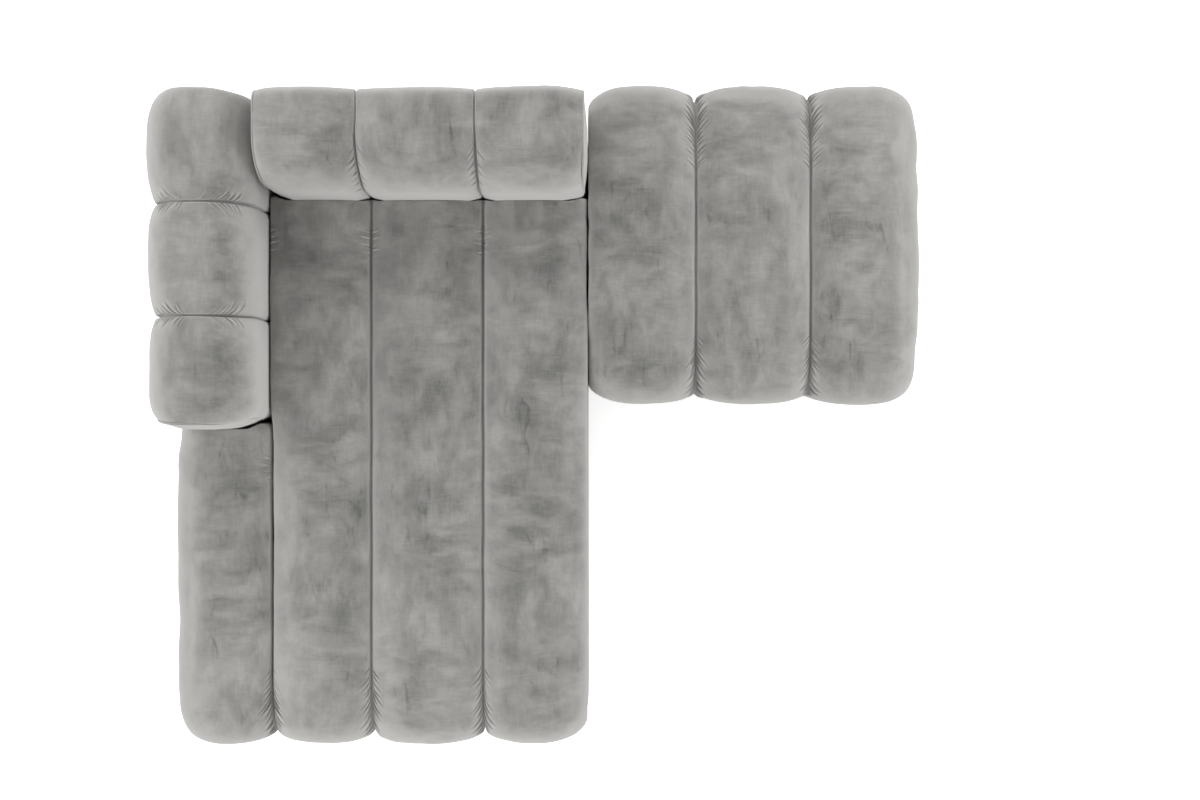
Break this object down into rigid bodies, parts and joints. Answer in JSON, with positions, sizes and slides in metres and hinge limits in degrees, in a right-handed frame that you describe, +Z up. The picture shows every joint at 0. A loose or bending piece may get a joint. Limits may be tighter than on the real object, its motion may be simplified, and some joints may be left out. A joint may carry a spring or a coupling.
{
  "type": "chaise longue",
  "caption": "Channel-upholstered chaise longue with a low side arm and back that lift off, and a matching pouf docked against its open side.",
  "frame": {"origin": "on the floor under the middle of the whole set, pouf docked", "axes": "+X from the arm to the pouf, +Y from the foot end to the back, +Z up"},
  "size_m": [1.9846, 1.7576, 0.622],
  "materials": {
    "grey_velvet": "brushed warm-grey velvet over wadding",
    "cut_foam": "cut polyurethane foam",
    "spring_felt": "needled felt",
    "black_lining": "black non-woven lining",
    "pine": "planed softwood",
    "plywood": "raw plywood",
    "zinc_steel": "zinc-plated steel",
    "black_plastic": "moulded black plastic"
  },
  "bodies": {
    "chaise_base": {"chaise_arm_deck": "plywood", "chaise_arm_socket_front": "zinc_steel", "chaise_arm_socket_rear": "zinc_steel", "chaise_back_deck": "plywood", "chaise_back_socket_left": "zinc_steel", "chaise_back_socket_right": "zinc_steel", "chaise_centre_rail": "pine", "chaise_connector_front": "zinc_steel", "chaise_connector_rear": "zinc_steel", "chaise_cross_rail": "pine", "chaise_dust_cover": "black_lining", "chaise_foot_centre": "black_plastic", "chaise_foot_front_left": "black_plastic", "chaise_foot_front_right": "black_plastic", "chaise_foot_rail": "pine", "chaise_foot_rear_left": "black_plastic", "chaise_foot_rear_right": "black_plastic", "chaise_left_rail": "pine", "chaise_rear_rail": "pine", "chaise_right_rail": "pine", "chaise_seat_cover": "grey_velvet", "chaise_seat_foam": "cut_foam", "chaise_spring_felt": "spring_felt", "chaise_springs": "zinc_steel"},
    "arm": {"arm_bottom_board": "plywood", "arm_cover": "grey_velvet", "arm_foam": "cut_foam", "arm_front_panel": "grey_velvet", "arm_rib_front": "plywood", "arm_rib_middle": "plywood", "arm_rib_rear": "plywood", "arm_tongue_front": "zinc_steel", "arm_tongue_rear": "zinc_steel", "arm_top_board": "plywood"},
    "back": {"back_bottom_board": "plywood", "back_cover": "grey_velvet", "back_foam": "cut_foam", "back_left_panel": "grey_velvet", "back_rib_left": "plywood", "back_rib_middle": "plywood", "back_rib_right": "plywood", "back_right_panel": "grey_velvet", "back_tongue_left": "zinc_steel", "back_tongue_right": "zinc_steel", "back_top_board": "plywood"},
    "pouf": {"pouf_connector_front": "zinc_steel", "pouf_connector_rear": "zinc_steel", "pouf_cover": "grey_velvet", "pouf_dust_cover": "black_lining", "pouf_foam": "cut_foam", "pouf_foot_front_left": "black_plastic", "pouf_foot_front_right": "black_plastic", "pouf_foot_rear_left": "black_plastic", "pouf_foot_rear_right": "black_plastic", "pouf_front_rail": "pine", "pouf_left_rail": "pine", "pouf_rear_rail": "pine", "pouf_right_rail": "pine", "pouf_spring_felt": "spring_felt", "pouf_springs": "zinc_steel"}
  },
  "joints": [
    {"name": "arm_lift", "type": "slide", "parent": "chaise_base", "child": "arm", "axis": [0, 0, 1], "range_m": [0, 0.42]},
    {"name": "back_lift", "type": "slide", "parent": "chaise_base", "child": "back", "axis": [0, 0, 1], "range_m": [0, 0.42]},
    {"name": "pouf_undock", "type": "slide", "parent": "chaise_base", "child": "pouf", "axis": [1, 0, 0], "range_m": [0, 0.4]}
  ]
}
